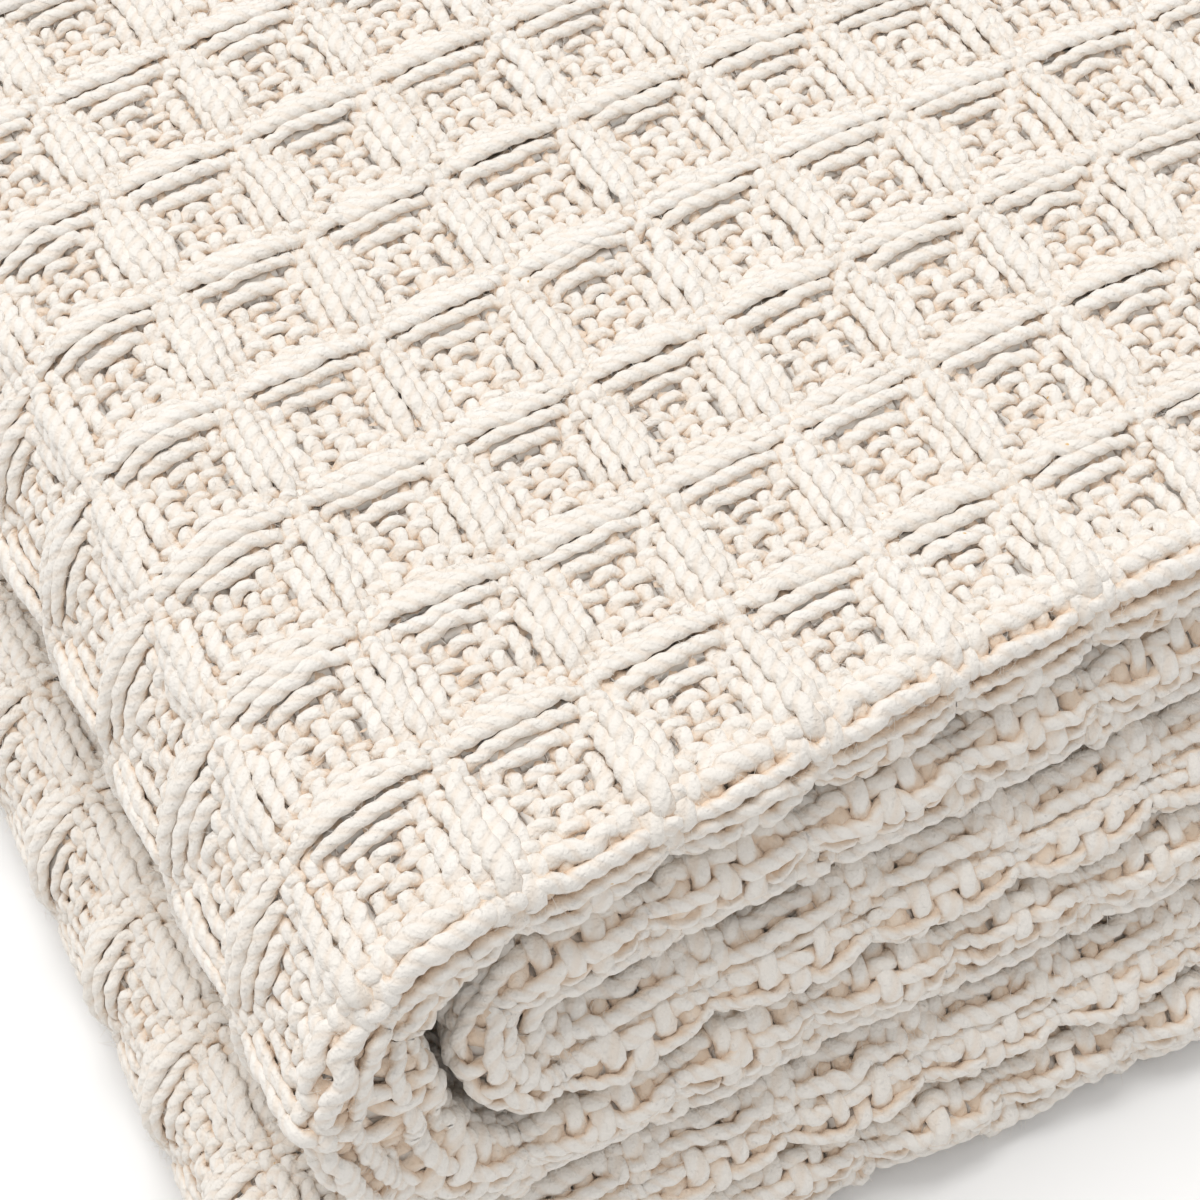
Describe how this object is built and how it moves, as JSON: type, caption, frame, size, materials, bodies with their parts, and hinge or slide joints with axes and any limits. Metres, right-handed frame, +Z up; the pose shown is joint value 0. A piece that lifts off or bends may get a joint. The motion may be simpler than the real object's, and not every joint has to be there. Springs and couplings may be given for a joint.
{
  "type": "folded throw blanket",
  "caption": "Cotton waffle-weave throw blanket folded into a flat stack, with opening folds.",
  "frame": {"origin": "centre of the bottom of the folded throw's bounding box, on the surface it lies on", "axes": "+Z up; +Y along the throw's long side, towards the back; +X along its short side, to the right, with the large fold bend at -X"},
  "size_m": [0.2722, 0.4262, 0.0597],
  "materials": {
    "cotton": "undyed cream cotton, soft plied yarn, waffle weave, matt"
  },
  "bodies": {
    "middle_pair": {"middle_layer": "cotton", "end_layer": "cotton", "lower_right_bend": "cotton", "outer_left_bend": "cotton", "inner_left_bend": "cotton"},
    "top_pair": {"inner_layer": "cotton", "top_layer": "cotton", "upper_right_bend": "cotton"},
    "lower_sheet": {"lower_layer": "cotton", "lower_left_bend": "cotton"},
    "bottom_sheet": {"bottom_layer": "cotton"}
  },
  "joints": [
    {"name": "top_fold", "type": "hinge", "parent": "middle_pair", "child": "top_pair", "pos_m": [-0.10879, 0, 0.03985], "axis": [0, -1, 0], "range_deg": [0, 180], "deforming": ["outer_left_bend", "inner_left_bend"]},
    {"name": "lower_fold", "type": "hinge", "parent": "middle_pair", "child": "lower_sheet", "pos_m": [0.13414, 0, 0.01985], "axis": [0, -1, 0], "range_deg": [0, 180], "deforming": ["lower_right_bend"]},
    {"name": "bottom_fold", "type": "hinge", "parent": "lower_sheet", "child": "bottom_sheet", "pos_m": [-0.13414, 0, 0.00985], "axis": [0, 1, 0], "range_deg": [0, 180], "deforming": ["lower_left_bend"]}
  ]
}
